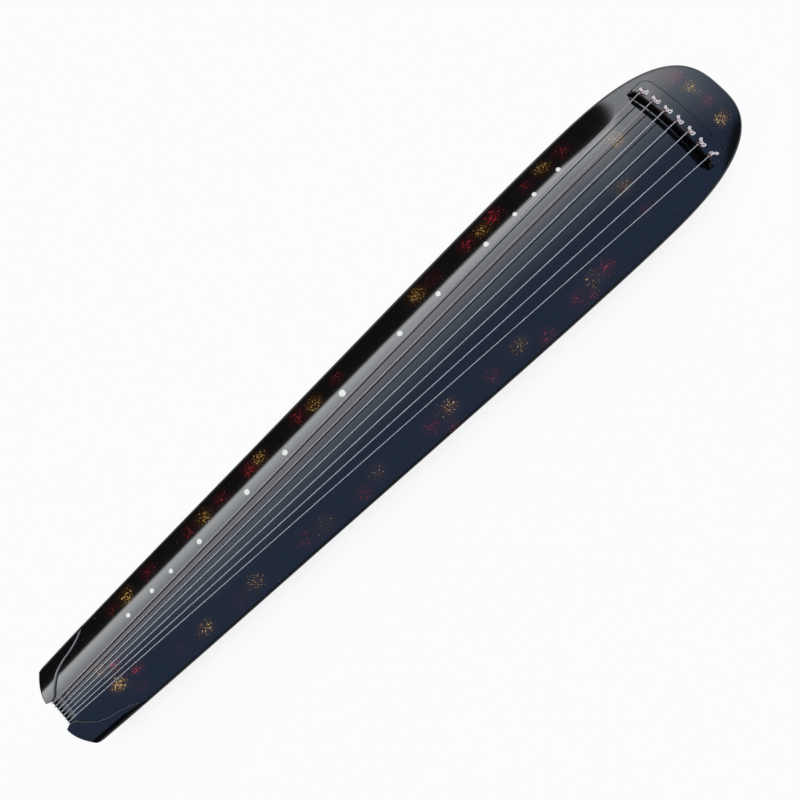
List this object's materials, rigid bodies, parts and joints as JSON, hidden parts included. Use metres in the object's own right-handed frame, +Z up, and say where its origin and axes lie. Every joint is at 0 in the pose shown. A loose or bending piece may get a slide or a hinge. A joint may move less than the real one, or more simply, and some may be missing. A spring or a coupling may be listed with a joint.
{
  "type": "guqin",
  "caption": "Long plucked zither: arched lacquered top, shell markers, strings over a bridge, tuning pegs under the head, feet and peg guards to stand on.",
  "frame": {"origin": "on the table under the middle of the instrument, which stands on its two feet and two peg guards", "axes": "+X to the head, +Y to the far side where string 1 and the markers lie, +Z up"},
  "size_m": [1.23, 0.203, 0.0942],
  "materials": {
    "black_lacquer": "polished black lacquer with red and gold flecks",
    "black_hardwood": "polished",
    "bare_wood": "planed",
    "peg_wood": "turned and oiled",
    "shell": "polished shell",
    "string_silver": "nylon-wrapped steel, satin",
    "red_cord": "twisted silk cord"
  },
  "bodies": {
    "root": {"top_board": "black_lacquer", "bottom_board": "black_lacquer", "heaven_post": "bare_wood", "earth_post": "bare_wood", "foot_block": "bare_wood", "bridge": "black_hardwood", "head_inlay": "black_hardwood", "tail_nut": "black_hardwood", "tail_saddle": "black_hardwood", "peg_board": "black_hardwood", "tail_cap_far": "black_hardwood", "tail_cap_near": "black_hardwood", "foot_far": "black_hardwood", "foot_near": "black_hardwood", "peg_guard_far": "black_hardwood", "peg_guard_near": "black_hardwood", "hui_1": "shell", "hui_2": "shell", "hui_3": "shell", "hui_4": "shell", "hui_5": "shell", "hui_6": "shell", "hui_7": "shell", "hui_8": "shell", "hui_9": "shell", "hui_10": "shell", "hui_11": "shell", "hui_12": "shell", "hui_13": "shell", "string_1": "string_silver", "string_2": "string_silver", "string_3": "string_silver", "string_4": "string_silver", "string_5": "string_silver", "string_6": "string_silver", "string_7": "string_silver", "peg_cord_1": "red_cord", "peg_cord_2": "red_cord", "peg_cord_3": "red_cord", "peg_cord_4": "red_cord", "peg_cord_5": "red_cord", "peg_cord_6": "red_cord", "peg_cord_7": "red_cord"},
    "peg_1": {"tuning_peg_1": "peg_wood", "peg_cord_tie_1": "red_cord"},
    "peg_2": {"tuning_peg_2": "peg_wood", "peg_cord_tie_2": "red_cord"},
    "peg_3": {"tuning_peg_3": "peg_wood", "peg_cord_tie_3": "red_cord"},
    "peg_4": {"tuning_peg_4": "peg_wood", "peg_cord_tie_4": "red_cord"},
    "peg_5": {"tuning_peg_5": "peg_wood", "peg_cord_tie_5": "red_cord"},
    "peg_6": {"tuning_peg_6": "peg_wood", "peg_cord_tie_6": "red_cord"},
    "peg_7": {"tuning_peg_7": "peg_wood", "peg_cord_tie_7": "red_cord"}
  },
  "joints": [
    {"name": "peg_turn_1", "type": "hinge", "parent": "root", "child": "peg_1", "pos_m": [0.5325, 0.06181, 0.0397], "axis": [0, 0, 1], "continuous": true},
    {"name": "peg_turn_2", "type": "hinge", "parent": "root", "child": "peg_2", "pos_m": [0.5325, 0.04121, 0.0397], "axis": [0, 0, 1], "continuous": true},
    {"name": "peg_turn_3", "type": "hinge", "parent": "root", "child": "peg_3", "pos_m": [0.5325, 0.0206, 0.0397], "axis": [0, 0, 1], "continuous": true},
    {"name": "peg_turn_4", "type": "hinge", "parent": "root", "child": "peg_4", "pos_m": [0.5325, 0, 0.0397], "axis": [0, 0, 1], "continuous": true},
    {"name": "peg_turn_5", "type": "hinge", "parent": "root", "child": "peg_5", "pos_m": [0.5325, -0.02061, 0.0397], "axis": [0, 0, 1], "continuous": true},
    {"name": "peg_turn_6", "type": "hinge", "parent": "root", "child": "peg_6", "pos_m": [0.5325, -0.04121, 0.0397], "axis": [0, 0, 1], "continuous": true},
    {"name": "peg_turn_7", "type": "hinge", "parent": "root", "child": "peg_7", "pos_m": [0.5325, -0.06181, 0.0397], "axis": [0, 0, 1], "continuous": true}
  ]
}
